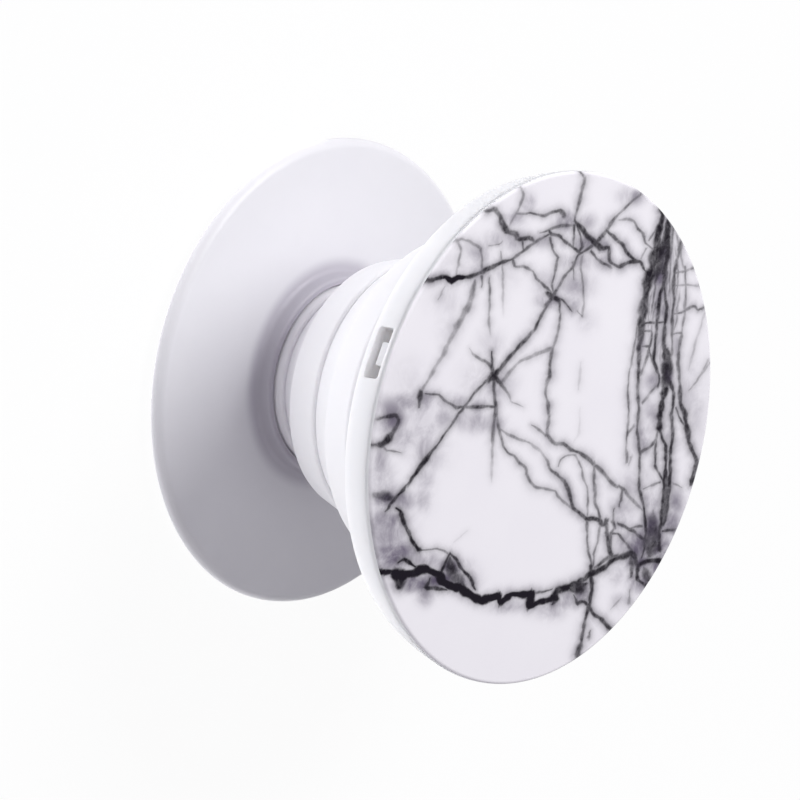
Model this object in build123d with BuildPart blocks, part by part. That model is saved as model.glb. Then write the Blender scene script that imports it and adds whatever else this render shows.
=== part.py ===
from build123d import *
import math
import os

# Collapsible phone grip, shown pulled out. Millimetres, +Z along the grip's axis.
# Z = 0 is the adhesive face that sticks to a phone, and the printed face looks along +Z.

os.makedirs("parts", exist_ok=True)

# Overall sizes
expanded_height = 25.0
disc_diameter = 40.0
disc_depth = 3.55
base_diameter = 37.5

# Fits
seat_gap = 0.05
swivel_clearance = 0.1
snap_clearance = 0.1

# Adhesive pad
pad_inset = 2.25
pad_thickness = 0.8

# Base plate
base_floor = 1.0
base_rear_round = 0.25
base_rim_round = 0.75
base_crown = 0.3
collar_depth = 1.45
collar_wall = 0.55
collar_draft = 0.25
collar_foot_round = 0.5
collar_lip_round = 0.3

# Snap fingers in the base plate's collar
finger_wall = 1.2
finger_slot = 1.0
finger_slot_count = 2
catch_reach = 0.65
catch_gap = 0.8
catch_land = 0.3
catch_lead = 0.9

# Accordion bellows
neck_diameter = 14.7
neck_length = 2.2
neck_wall = 1.3
neck_flange = 0.8
lower_ring_rear_diameter = 20.0
lower_ring_front_diameter = 22.0
lower_ring_height = 3.45
upper_ring_rear_diameter = 26.4
upper_ring_front_diameter = 27.8
upper_ring_height = 3.0
top_ring_height = 2.1
top_flange_reach = 1.6
top_flange = 0.65
ring_wall = 1.5
fold_wall = 0.7
fold_step = 0.35
ring_rear_round = 0.2
ring_front_round = 0.3
round_share = 0.9

# Disc: rear cup and face plate
cup_taper = 0.95
cup_floor = 0.8
cup_wall = 1.4
cup_seam = 0.05
cup_bulge = 0.12
cup_rear_round = 0.4
cup_hole_clearance = 0.2
lip_thickness = 0.5
plate_thickness = 0.9
plate_edge_round = 0.25
clamp_ring_wall = 1.2
clamp_ring_gap = 0.4

# Snap windows in the cup, and the face plate's hooks
window_count = 4
window_angle = -97.0
window_length = 4.0
window_bar = 0.35
window_sill = 0.1
hook_width = 1.8
hook_arm = 0.8
hook_gap = 0.15
hook_floor_gap = 0.3
barb_lead = 0.55
barb_inset = 0.65

# Heights that follow from the sizes above
base_floor_z = pad_thickness + base_floor
rim_front_z = pad_thickness + base_rear_round + base_rim_round
crown_z = rim_front_z + base_crown
collar_top_z = base_floor_z + collar_depth
neck_seat_z = base_floor_z + seat_gap
neck_flange_z = neck_seat_z + neck_flange
neck_top_z = neck_seat_z + neck_length

cup_rear_z = expanded_height - disc_depth
cup_floor_z = cup_rear_z + cup_floor
cup_front_z = expanded_height - lip_thickness
plate_rear_z = expanded_height - plate_thickness
flange_z = cup_floor_z + seat_gap
flange_top_z = flange_z + top_flange
window_top_z = cup_front_z - window_bar
window_sill_z = cup_floor_z + window_sill

# Radii of the base plate and the neck that turns in it
base_radius = base_diameter / 2
neck_radius = neck_diameter / 2
neck_bore_radius = neck_radius - neck_wall
socket_radius = neck_radius + swivel_clearance
collar_lip_radius = socket_radius + collar_wall
collar_foot_radius = collar_lip_radius + collar_draft
catch_radius = neck_bore_radius - catch_gap
finger_radius = catch_radius - catch_reach

# Radii of the disc, from its edge in to the bellows' top ring
disc_radius = disc_diameter / 2
cup_front_radius = disc_radius - cup_seam
cup_rear_radius = cup_front_radius - cup_taper
cup_bore_radius = cup_front_radius - cup_wall
spigot_radius = cup_bore_radius - snap_clearance
hook_outer_radius = cup_bore_radius - hook_gap
hook_inner_radius = hook_outer_radius - hook_arm
flange_radius = hook_inner_radius - clamp_ring_gap
top_ring_radius = flange_radius - top_flange_reach
cup_hole_radius = top_ring_radius + cup_hole_clearance


def nearest_vertex(section, corner):
    return section.vertices().sort_by_distance(Vector(*corner))[0]


# Adhesive pad
with BuildPart() as adhesive_pad:
    Cylinder(base_radius - pad_inset, pad_thickness, align=(Align.CENTER, Align.CENTER, Align.MIN))
adhesive_pad.part.label = "adhesive_pad"
export_step(adhesive_pad.part, "parts/adhesive_pad.step")

# Base plate: crowned disc and collar, with the neck's socket and the snap fingers inside
with BuildPart() as base_plate:
    rear_edge = (base_radius - base_rear_round, pad_thickness)
    rim = (base_radius, pad_thickness + base_rear_round)
    rim_front = (base_radius - base_rim_round, rim_front_z)
    rim_front_radius = rim_front[0]
    crown_radius = (rim_front_radius + collar_foot_radius) / 2
    crown_fall = (crown_radius**2 - collar_foot_radius**2) / (rim_front_radius**2 - collar_foot_radius**2)
    crown_mid = (crown_radius, crown_z - base_crown * crown_fall)
    collar_foot = (collar_foot_radius, crown_z)
    collar_lip = (collar_lip_radius, collar_top_z)
    with BuildSketch(Plane.XZ) as base_section:
        with BuildLine():
            Line((0, pad_thickness), rear_edge)
            RadiusArc(rear_edge, rim, -base_rear_round)
            RadiusArc(rim, rim_front, -base_rim_round)
            ThreePointArc(rim_front, crown_mid, collar_foot)
            Polyline(collar_foot, collar_lip, (socket_radius, collar_top_z), (socket_radius, base_floor_z),
                     (0, base_floor_z), (0, pad_thickness))
        make_face()
        fillet(nearest_vertex(base_section, collar_foot), collar_foot_round)
        fillet(nearest_vertex(base_section, collar_lip), collar_lip_round)
    revolve(axis=Axis.Z)

    catch_z = neck_flange_z + swivel_clearance
    catch_top_z = catch_z + catch_land
    finger_top_z = catch_top_z + catch_lead
    finger_bore = finger_radius - finger_wall
    with BuildSketch(Plane.XZ):
        with BuildLine():
            Polyline((finger_bore, base_floor_z), (finger_radius, base_floor_z), (finger_radius, catch_z),
                     (catch_radius, catch_z), (catch_radius, catch_top_z),
                     (finger_radius, finger_top_z), (finger_bore, finger_top_z), close=True)
        make_face()
    revolve(axis=Axis.Z)
    with BuildSketch(Plane.XY.offset(base_floor_z)):
        with PolarLocations(0, finger_slot_count, angular_range=180):
            Rectangle(socket_radius + finger_radius, finger_slot)
    extrude(amount=finger_top_z - base_floor_z, mode=Mode.SUBTRACT)
base_plate.part.label = "base_plate"
export_step(base_plate.part, "parts/base_plate.step")

# Accordion: stiff rings joined by thin folding walls, turned as one section.
# The folds share what the neck and the rings leave of the bellows' height.
lower_ring = (lower_ring_rear_diameter / 2, lower_ring_front_diameter / 2, lower_ring_height)
upper_ring = (upper_ring_rear_diameter / 2, upper_ring_front_diameter / 2, upper_ring_height)
top_ring = (top_ring_radius, top_ring_radius, top_ring_height)
rings = [lower_ring, upper_ring, top_ring]
rings_height = lower_ring_height + upper_ring_height + top_ring_height
fold_rise = (flange_z - neck_top_z - rings_height) / len(rings)
fold_inset = fold_step + fold_wall
flange_hole_radius = finger_radius + swivel_clearance


def step_round(wanted, corner_angle):
    # A rounding as wanted, or as much as the step beside the corner has room for
    return min(wanted, round_share * fold_step * math.tan(math.radians(corner_angle / 2)))


outside = [(neck_radius, neck_seat_z), (neck_radius, neck_top_z), (neck_radius - fold_step, neck_top_z)]
inside = [(flange_hole_radius, neck_seat_z), (flange_hole_radius, neck_flange_z),
          (neck_bore_radius, neck_flange_z), (neck_bore_radius, neck_top_z),
          (neck_radius - fold_inset, neck_top_z)]
roundings = [((neck_radius, neck_top_z), step_round(ring_front_round, 90))]
front_z = neck_top_z
for ring in rings:
    rear_radius, front_radius, height = ring
    rear_z = front_z + fold_rise
    front_z = rear_z + height
    lean = math.degrees(math.atan2(front_radius - rear_radius, height))
    outside += [(rear_radius - fold_step, rear_z), (rear_radius, rear_z), (front_radius, front_z)]
    inside += [(rear_radius - fold_inset, rear_z), (rear_radius - ring_wall, rear_z)]
    roundings.append(((rear_radius, rear_z), step_round(ring_rear_round, 90 + lean)))
    if ring is not top_ring:
        outside.append((front_radius - fold_step, front_z))
        inside += [(front_radius - ring_wall, front_z), (front_radius - fold_inset, front_z)]
        roundings.append(((front_radius, front_z), step_round(ring_front_round, 90 - lean)))
outside += [(flange_radius, flange_z), (flange_radius, flange_top_z)]
inside.append((top_ring_radius - ring_wall, flange_top_z))

with BuildPart() as accordion:
    with BuildSketch(Plane.XZ) as accordion_section:
        with BuildLine():
            Polyline(*outside, *reversed(inside), close=True)
        make_face()
        for corner, radius in roundings:
            fillet(nearest_vertex(accordion_section, corner), radius)
    revolve(axis=Axis.Z)
accordion.part.label = "accordion"
export_step(accordion.part, "parts/accordion.step")

# Top cup: the disc's rear half, with the bellows' hole in its floor and snap windows round its wall
with BuildPart() as top_cup:
    rear_corner = (cup_rear_radius, cup_rear_z)
    front_corner = (cup_front_radius, cup_front_z)
    wall_mid = ((cup_rear_radius + cup_front_radius) / 2 + cup_bulge, (cup_rear_z + cup_front_z) / 2)
    with BuildSketch(Plane.XZ) as cup_section:
        with BuildLine():
            Line((cup_hole_radius, cup_rear_z), rear_corner)
            ThreePointArc(rear_corner, wall_mid, front_corner)
            Polyline(front_corner, (cup_bore_radius, cup_front_z), (cup_bore_radius, cup_floor_z),
                     (cup_hole_radius, cup_floor_z), (cup_hole_radius, cup_rear_z))
        make_face()
        fillet(nearest_vertex(cup_section, rear_corner), cup_rear_round)
    revolve(axis=Axis.Z)
    window_cut = 4 * cup_wall  # past both faces of the wall
    with Locations((0, 0, window_sill_z)):
        with PolarLocations(cup_bore_radius, window_count, start_angle=window_angle):
            Box(window_cut, window_length, window_top_z - window_sill_z,
                align=(Align.CENTER, Align.CENTER, Align.MIN), mode=Mode.SUBTRACT)
top_cup.part.label = "top_cup"
export_step(top_cup.part, "parts/top_cup.step")

# One snap hook: a short arm rooted in the plate's spigot, with a barb that stands in its window
with BuildPart() as hook:
    arm_end_z = cup_floor_z + hook_floor_gap
    barb_tip_radius = cup_front_radius - barb_inset
    barb_top_z = window_top_z - seat_gap
    with BuildSketch(Plane.XZ):
        with BuildLine():
            Polyline((hook_inner_radius, cup_front_z), (hook_inner_radius, arm_end_z),
                     (hook_outer_radius, arm_end_z), (barb_tip_radius, arm_end_z + barb_lead),
                     (barb_tip_radius, barb_top_z), (hook_outer_radius, barb_top_z),
                     (hook_outer_radius, cup_front_z), close=True)
        make_face()
    extrude(amount=hook_width / 2, both=True)

# Face plate: printed disc with a lip over the cup's edge, a clamp ring and the hooks behind it
with BuildPart() as face_plate:
    front_edge = (disc_radius, expanded_height)
    with BuildSketch(Plane.XZ) as plate_section:
        with BuildLine():
            Polyline((0, plate_rear_z), (spigot_radius, plate_rear_z), (spigot_radius, cup_front_z),
                     (disc_radius, cup_front_z), front_edge, (0, expanded_height), close=True)
        make_face()
        fillet(nearest_vertex(plate_section, front_edge), plate_edge_round)
    revolve(axis=Axis.Z)
    with BuildSketch(Plane.XY.offset(plate_rear_z)):
        Circle(flange_radius)
        Circle(flange_radius - clamp_ring_wall, mode=Mode.SUBTRACT)
    extrude(amount=flange_top_z + seat_gap - plate_rear_z)
    with PolarLocations(0, window_count, start_angle=window_angle):
        add(hook.part)
face_plate.part.label = "face_plate"
export_step(face_plate.part, "parts/face_plate.step")
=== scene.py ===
import bpy
import bmesh
import math
import numpy as np
from mathutils import Matrix, Vector, geometry


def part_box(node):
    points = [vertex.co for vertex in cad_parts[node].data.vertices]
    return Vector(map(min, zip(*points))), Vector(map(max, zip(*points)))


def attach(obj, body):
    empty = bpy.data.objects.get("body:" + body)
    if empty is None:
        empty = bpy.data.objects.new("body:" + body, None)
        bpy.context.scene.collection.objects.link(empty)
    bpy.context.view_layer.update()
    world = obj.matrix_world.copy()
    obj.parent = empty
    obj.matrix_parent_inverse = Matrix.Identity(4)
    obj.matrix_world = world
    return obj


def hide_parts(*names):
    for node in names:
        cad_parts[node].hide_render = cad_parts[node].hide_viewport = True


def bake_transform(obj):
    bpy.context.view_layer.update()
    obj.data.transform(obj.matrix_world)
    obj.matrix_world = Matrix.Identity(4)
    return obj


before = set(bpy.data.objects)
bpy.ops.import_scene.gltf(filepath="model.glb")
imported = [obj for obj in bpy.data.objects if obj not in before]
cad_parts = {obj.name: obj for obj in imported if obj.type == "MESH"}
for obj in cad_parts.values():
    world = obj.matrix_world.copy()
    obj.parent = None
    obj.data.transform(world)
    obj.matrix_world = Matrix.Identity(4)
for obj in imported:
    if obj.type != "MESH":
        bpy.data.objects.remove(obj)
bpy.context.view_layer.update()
mm = 0.001
print("frame loaded", sorted(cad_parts))

# where the photo was taken from: lengths in mm along the grip, sizes in the picture in pixels
photoView = {
    "tilt": 49.84,       # degrees between the grip's axis and the line of sight
    "roll": 14.5,        # degrees the axis droops in the picture
    "distance": 400.0,
    "aimHeight": 13.05,
    "aimRight": 2.4,
    "aimDown": -0.02,
    "focalPixels": 5128.0,
    "framePixels": 800.0,
    "sensor": 36.0,
    "clip": (0.01, 20.0),  # nearest and farthest in metres
}
tilt = math.radians(photoView["tilt"])
roll = math.radians(photoView["roll"])
toEye = np.array((0, -math.sin(tilt), math.cos(tilt)))
pictureRight = np.array((-math.sin(roll), math.cos(roll) * math.cos(tilt), math.cos(roll) * math.sin(tilt)))
pictureDown = np.array((math.cos(roll), math.sin(roll) * math.cos(tilt), math.sin(roll) * math.sin(tilt)))
eye = (np.array((0, 0, photoView["aimHeight"])) + toEye * photoView["distance"]
       - pictureRight * photoView["aimRight"] - pictureDown * photoView["aimDown"])


def addNode(tree, kind, **settings):
    node = tree.nodes.new(kind)
    for key, value in settings.items():
        setattr(node, key, value)
    return node


def setInputs(node, **values):
    for key, value in values.items():
        node.inputs[key.replace("_", " ")].default_value = value
    return node


def wireUp(tree, *wires):
    # a wire is a node and its output, then the node and the input it leads to
    for source, output, target, entry in wires:
        tree.links.new(source.outputs[output], target.inputs[entry])


def newGroup(name, kind, *sockets):
    # a node group with the sockets asked for, and its two ends
    group = bpy.data.node_groups.new(name, kind)
    for way, socketKind, names in sockets:
        for socketName in names:
            group.interface.new_socket(socketName, in_out=way, socket_type="NodeSocket" + socketKind)
    return group, addNode(group, "NodeGroupInput"), addNode(group, "NodeGroupOutput")


def newPiece(name, mesh):
    mesh.name = name
    piece = bpy.data.objects.new(name, mesh)
    bpy.context.scene.collection.objects.link(piece)
    return piece


def faceOutward(mesh):
    work = bmesh.new()
    work.from_mesh(mesh)
    if work.calc_volume(signed=True) < 0:
        bmesh.ops.reverse_faces(work, faces=work.faces)
    work.to_mesh(mesh)
    work.free()
    return mesh


def runTree(name, seedMesh, tree, values):
    # puts a node tree on a mesh, sets its named inputs and keeps the plain result
    seed = newPiece(name + "Seed", seedMesh)
    modifier = seed.modifiers.new(tree.name, "NODES")
    modifier.node_group = tree
    for item in tree.interface.items_tree:
        if item.item_type == "SOCKET" and item.in_out == "INPUT" and item.name in values:
            modifier[item.identifier] = values[item.name]
    seed.update_tag()
    bpy.context.view_layer.update()
    evaluated = seed.evaluated_get(bpy.context.evaluated_depsgraph_get())
    mesh = bpy.data.meshes.new_from_object(evaluated)
    seed.modifiers.remove(modifier)
    bpy.data.objects.remove(seed)
    bpy.data.meshes.remove(seedMesh)
    return faceOutward(mesh)


# what the finishes share: fine grain for roughness and bumps, and a slow mottle between two tones
def buildMouldGrain():
    group, given, made = newGroup(
        "mouldGrain", "ShaderNodeTree",
        ("INPUT", "Vector", ("Position",)),
        ("INPUT", "Float", ("Grain Scale", "Mottle Scale", "Mottle Share")),
        ("INPUT", "Float", ("Roughness Low", "Roughness High")),
        ("INPUT", "Color", ("Light Tone", "Shade Tone")),
        ("OUTPUT", "Color", ("Tone",)),
        ("OUTPUT", "Float", ("Roughness", "Height")))
    grain = setInputs(addNode(group, "ShaderNodeTexNoise"), Detail=4.0, Roughness=0.55)
    mottle = setInputs(addNode(group, "ShaderNodeTexNoise"), Detail=3.0, Roughness=0.5)
    share = addNode(group, "ShaderNodeMath", operation="MULTIPLY")
    tone = addNode(group, "ShaderNodeMix", data_type="RGBA")
    rough = setInputs(addNode(group, "ShaderNodeMapRange"), From_Min=0.3, From_Max=0.7)
    wireUp(group,
           (given, "Position", grain, "Vector"), (given, "Grain Scale", grain, "Scale"),
           (given, "Position", mottle, "Vector"), (given, "Mottle Scale", mottle, "Scale"),
           (mottle, "Fac", share, 0), (given, "Mottle Share", share, 1), (share, 0, tone, "Factor"),
           (given, "Light Tone", tone, "A"), (given, "Shade Tone", tone, "B"),
           (grain, "Fac", rough, "Value"), (given, "Roughness Low", rough, "To Min"),
           (given, "Roughness High", rough, "To Max"), (tone, "Result", made, "Tone"),
           (rough, "Result", made, "Roughness"), (grain, "Fac", made, "Height"))
    return group


mouldGrain = buildMouldGrain()
glowSpread = (1.0, 0.95, 0.9)  # how far red, green and blue light go inside the plastic


def startFinish(name, look):
    # a plastic that takes its roughness and bumps from the grain; its colour is still to be wired
    finish = bpy.data.materials.new(name)
    finish.use_nodes = True
    tree = finish.node_tree
    shader = setInputs(tree.nodes["Principled BSDF"], IOR=look["ior"])
    where = addNode(tree, "ShaderNodeTexCoord")
    grain = addNode(tree, "ShaderNodeGroup", node_tree=mouldGrain)
    lowRough, highRough = look["roughness"]
    setInputs(grain, Grain_Scale=look["grainScale"], Mottle_Scale=look["mottleScale"],
              Mottle_Share=look["mottleShare"], Roughness_Low=lowRough, Roughness_High=highRough,
              Light_Tone=(*look["light"], 1), Shade_Tone=(*look["shade"], 1))
    bump = setInputs(addNode(tree, "ShaderNodeBump"), Strength=look["bump"], Distance=look["bumpDepth"])
    wireUp(tree, (where, "Object", grain, "Position"), (grain, "Roughness", shader, "Roughness"),
           (grain, "Height", bump, "Height"), (bump, "Normal", shader, "Normal"))
    return finish, shader, where, grain


def mouldedFinish(name, look):
    finish, shader, where, grain = startFinish(name, look)
    tree = finish.node_tree
    wireUp(tree, (grain, "Tone", shader, "Base Color"))
    if "crease" in look:  # painted shade: a deeper tone inside a radius, fading out to another, standing in for the shade where parts close in
        fadeStart, fadeEnd = look["crease"]
        apart = addNode(tree, "ShaderNodeSeparateXYZ")
        flat = addNode(tree, "ShaderNodeCombineXYZ")
        radius = addNode(tree, "ShaderNodeVectorMath", operation="LENGTH")
        fade = setInputs(addNode(tree, "ShaderNodeMapRange", interpolation_type="SMOOTHSTEP"),
                         From_Min=fadeStart * mm, From_Max=fadeEnd * mm, To_Min=1.0, To_Max=0.0)
        paintedShade = setInputs(addNode(tree, "ShaderNodeMix", data_type="RGBA"), B=(*look["creaseTone"], 1))
        wireUp(tree, (where, "Object", apart, "Vector"), (apart, "X", flat, "X"), (apart, "Y", flat, "Y"),
               (flat, "Vector", radius, 0), (radius, "Value", fade, "Value"),
               (fade, "Result", paintedShade, "Factor"), (grain, "Tone", paintedShade, "A"),
               (paintedShade, "Result", shader, "Base Color"))
    if "glowThrough" in look:  # soft light through a pale wall
        setInputs(shader, Subsurface_Weight=look["glowThrough"], Subsurface_Scale=look["glowDepth"],
                  Subsurface_Radius=glowSpread)
    return finish


touching = 0.5e-6  # points this near are one point, in metres
creaseAngle = math.radians(25)  # edges steeper than this stay sharp
pathRadius = 0.02  # the sweep's own circle; a section's radii are counted from it


def paintSurface(tree, given, source, output, made, result):
    # smooth faces with sharp steep edges, then realized and painted
    smooth = addNode(tree, "GeometryNodeSetShadeSmooth", domain="FACE")
    crease = setInputs(addNode(tree, "GeometryNodeSetShadeSmooth", domain="EDGE"), Shade_Smooth=False)
    angle = addNode(tree, "GeometryNodeInputMeshEdgeAngle")
    steep = addNode(tree, "FunctionNodeCompare", data_type="FLOAT", operation="GREATER_THAN")
    realize = addNode(tree, "GeometryNodeRealizeInstances")
    paint = addNode(tree, "GeometryNodeSetMaterial")
    wireUp(tree, (source, output, smooth, "Geometry"), (smooth, "Geometry", crease, "Geometry"),
           (angle, "Unsigned Angle", steep, "A"), (given, "Crease Angle", steep, "B"),
           (steep, "Result", crease, "Selection"), (crease, "Geometry", realize, "Geometry"),
           (realize, "Geometry", paint, "Geometry"), (given, "Finish", paint, "Material"),
           (paint, "Geometry", made, result))


# tree that turns a flat section round the grip's axis, rounding the corners that ask for it
def buildTurnedSection():
    tree, given, made = newGroup(
        "turnedSection", "GeometryNodeTree",
        ("INPUT", "Geometry", ("Section",)),
        ("INPUT", "Float", ("Path Radius",)),
        ("INPUT", "Int", ("Turning Steps", "Rounding Steps")),
        ("INPUT", "Float", ("Crease Angle",)),
        ("INPUT", "Material", ("Finish",)),
        ("OUTPUT", "Geometry", ("Turned",)))
    section = addNode(tree, "GeometryNodeMeshToCurve")
    asked = setInputs(addNode(tree, "GeometryNodeInputNamedAttribute", data_type="FLOAT"), Name="cornerRound")
    rounding = setInputs(addNode(tree, "GeometryNodeFilletCurve", mode="POLY"), Limit_Radius=True)
    path = addNode(tree, "GeometryNodeCurvePrimitiveCircle", mode="RADIUS")
    sweep = addNode(tree, "GeometryNodeCurveToMesh")
    closeUp = setInputs(addNode(tree, "GeometryNodeMergeByDistance"), Distance=touching)
    wireUp(tree,
           (given, "Section", section, "Mesh"), (section, "Curve", rounding, "Curve"),
           (asked, "Attribute", rounding, "Radius"), (given, "Rounding Steps", rounding, "Count"),
           (given, "Turning Steps", path, "Resolution"), (given, "Path Radius", path, "Radius"),
           (path, "Curve", sweep, "Curve"), (rounding, "Curve", sweep, "Profile Curve"),
           (sweep, "Mesh", closeUp, "Geometry"))
    paintSurface(tree, given, closeUp, "Geometry", made, "Turned")
    return tree


turnedSection = buildTurnedSection()


def turn(name, corners, finish, closed=True, steps=288, roundSteps=6):
    # corners are (radius, height) or (radius, height, rounding) in mm, walked with the solid on the right
    points = [(c[0] * mm - pathRadius, -c[1] * mm, 0) for c in corners]
    edges = [(i, i + 1) for i in range(len(points) - 1)]
    if closed:
        edges.append((len(points) - 1, 0))
    mesh = bpy.data.meshes.new(name + "Section")
    mesh.from_pydata(points, edges, [])
    rounds = mesh.attributes.new("cornerRound", "FLOAT", "POINT")
    rounds.data.foreach_set("value", [(c[2] if len(c) > 2 else 0) * mm for c in corners])
    return runTree(name, mesh, turnedSection, {
        "Path Radius": pathRadius, "Turning Steps": steps, "Rounding Steps": roundSteps,
        "Crease Angle": creaseAngle, "Finish": finish})


def arcThrough(first, middle, last, steps):
    # points on the arc from first to last through middle, ends included
    (ax, ay), (bx, by), (cx, cy) = first, middle, last
    d = 2 * (ax * (by - cy) + bx * (cy - ay) + cx * (ay - by))
    a2, b2, c2 = ax * ax + ay * ay, bx * bx + by * by, cx * cx + cy * cy
    ux = (a2 * (by - cy) + b2 * (cy - ay) + c2 * (ay - by)) / d
    uy = (a2 * (cx - bx) + b2 * (ax - cx) + c2 * (bx - ax)) / d
    radius = math.hypot(ax - ux, ay - uy)
    start = math.atan2(ay - uy, ax - ux)
    sweep = math.atan2(cy - uy, cx - ux) - start
    sweep = (sweep + math.pi) % (2 * math.pi) - math.pi
    angles = [start + sweep * i / steps for i in range(steps + 1)]
    return [(ux + radius * math.cos(angle), uy + radius * math.sin(angle)) for angle in angles]


# trees for what stands several times round the axis
ringSockets = (("INPUT", "Int", ("Count",)), ("INPUT", "Float", ("Start Angle", "Full Sweep")))


def ringOfCopies(tree, given, shape, output):
    # copies of a shape turned evenly round the axis, realized
    points = addNode(tree, "GeometryNodePoints")
    index = addNode(tree, "GeometryNodeInputIndex")
    share = addNode(tree, "ShaderNodeMath", operation="DIVIDE")
    angle = addNode(tree, "ShaderNodeMath", operation="MULTIPLY_ADD")
    spin = addNode(tree, "ShaderNodeCombineXYZ")
    copies = addNode(tree, "GeometryNodeInstanceOnPoints")
    realize = addNode(tree, "GeometryNodeRealizeInstances")
    wireUp(tree,
           (given, "Count", points, "Count"), (index, "Index", share, 0), (given, "Count", share, 1),
           (share, 0, angle, 0), (given, "Full Sweep", angle, 1), (given, "Start Angle", angle, 2),
           (angle, 0, spin, "Z"), (points, 0, copies, "Points"), (shape, output, copies, "Instance"),
           (spin, "Vector", copies, "Rotation"), (copies, "Instances", realize, "Geometry"))
    return realize


def buildRingOfHooks():
    tree, given, made = newGroup(
        "ringOfHooks", "GeometryNodeTree", ("INPUT", "Geometry", ("Hook",)), *ringSockets,
        ("INPUT", "Material", ("Finish",)), ("OUTPUT", "Geometry", ("Hooks",)))
    paint = addNode(tree, "GeometryNodeSetMaterial")
    hooks = ringOfCopies(tree, given, given, "Hook")
    wireUp(tree, (hooks, "Geometry", paint, "Geometry"), (given, "Finish", paint, "Material"),
           (paint, "Geometry", made, "Hooks"))
    return tree


def buildCutWindows():
    # round-cornered openings cut through a turned wall, evenly spaced
    tree, given, made = newGroup(
        "cutWindows", "GeometryNodeTree", ("INPUT", "Geometry", ("Wall",)), *ringSockets,
        ("INPUT", "Float", ("Length", "Height", "Middle Height", "Corner Round")),
        ("INPUT", "Float", ("Inner Radius", "Depth", "Crease Angle")),
        ("INPUT", "Material", ("Finish",)), ("OUTPUT", "Geometry", ("Cut Wall",)))
    outline = addNode(tree, "GeometryNodeCurvePrimitiveQuadrilateral")
    rounding = setInputs(addNode(tree, "GeometryNodeFilletCurve", mode="POLY"), Limit_Radius=True, Count=6)
    fill = addNode(tree, "GeometryNodeFillCurve", mode="NGONS")
    pull = addNode(tree, "GeometryNodeExtrudeMesh", mode="FACES")
    turnOver = addNode(tree, "GeometryNodeFlipFaces")
    cap = addNode(tree, "GeometryNodeJoinGeometry")
    closeUp = setInputs(addNode(tree, "GeometryNodeMergeByDistance"), Distance=touching)
    place = addNode(tree, "GeometryNodeTransform")
    setInputs(place, Rotation=(math.pi / 2, 0, math.pi / 2))  # the outline then looks along +X
    spot = addNode(tree, "ShaderNodeCombineXYZ")
    cut = addNode(tree, "GeometryNodeMeshBoolean", operation="DIFFERENCE", solver="EXACT")
    cutters = ringOfCopies(tree, given, place, "Geometry")
    wireUp(tree,
           (given, "Length", outline, "Width"), (given, "Height", outline, "Height"),
           (outline, "Curve", rounding, "Curve"), (given, "Corner Round", rounding, "Radius"),
           (rounding, "Curve", fill, "Curve"), (fill, "Mesh", pull, "Mesh"),
           (given, "Depth", pull, "Offset Scale"), (fill, "Mesh", turnOver, "Mesh"),
           (pull, "Mesh", cap, "Geometry"), (turnOver, "Mesh", cap, "Geometry"),
           (cap, "Geometry", closeUp, "Geometry"), (closeUp, "Geometry", place, "Geometry"),
           (given, "Inner Radius", spot, "X"), (given, "Middle Height", spot, "Z"),
           (spot, "Vector", place, "Translation"), (given, "Wall", cut, "Mesh 1"),
           (cutters, "Geometry", cut, "Mesh 2"))
    paintSurface(tree, given, cut, "Mesh", made, "Cut Wall")
    return tree


cutWindows = buildCutWindows()


def cutOpenings(name, wall, finish, count, startAngle, **sizes):
    # evenly spaced openings through a wall; sizes in mm, under the tree's own names
    lengths = {key.replace("_", " "): value * mm for key, value in sizes.items()}
    return runTree(name, wall, cutWindows, {
        "Count": count, "Start Angle": math.radians(startAngle), "Full Sweep": 2 * math.pi,
        "Crease Angle": creaseAngle, "Finish": finish, **lengths})


def prism(name, outline, width, ease, finish):
    # a section (radius, height) in mm, pulled to a width across it and slightly eased
    work = bmesh.new()
    near = [work.verts.new((r * mm, -width / 2 * mm, z * mm)) for r, z in outline]
    far = [work.verts.new((r * mm, width / 2 * mm, z * mm)) for r, z in outline]
    count = len(outline)
    work.faces.new(near)
    work.faces.new(list(reversed(far)))
    for i in range(count):
        j = (i + 1) % count
        work.faces.new((near[j], near[i], far[i], far[j]))
    bmesh.ops.recalc_face_normals(work, faces=work.faces)
    bmesh.ops.bevel(work, geom=list(work.edges), offset=ease * mm, segments=2, profile=0.5, affect="EDGES")
    mesh = bpy.data.meshes.new(name)
    work.to_mesh(mesh)
    work.free()
    mesh.materials.append(finish)
    return mesh


def settle(piece, body, node):
    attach(piece, body)
    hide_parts(node)


# adhesive pad: foam disc on the rear of the base plate
pad = {"edgeRound": 0.08, "steps": 192}
padLook = {
    "light": (0.84, 0.84, 0.86), "shade": (0.66, 0.66, 0.70), "mottleShare": 0.9, "mottleScale": 2600.0,
    "grainScale": 5200.0, "roughness": (0.78, 0.95), "bump": 0.35, "bumpDepth": 0.00008, "ior": 1.4,
}
_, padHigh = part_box("adhesive_pad")
padRadius = padHigh.x / mm
padTop = padHigh.z / mm
foamFinish = mouldedFinish("adhesiveFoam", padLook)
padSection = [(0, padTop), (padRadius, padTop, pad["edgeRound"]), (padRadius, 0, pad["edgeRound"]), (0, 0)]
padMesh = turn("adhesivePad", padSection, foamFinish, closed=False, steps=pad["steps"])
adhesivePad = newPiece("adhesivePad", padMesh)
settle(adhesivePad, "base", "adhesive_pad")
print("adhesive pad", len(padMesh.polygons))

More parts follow.
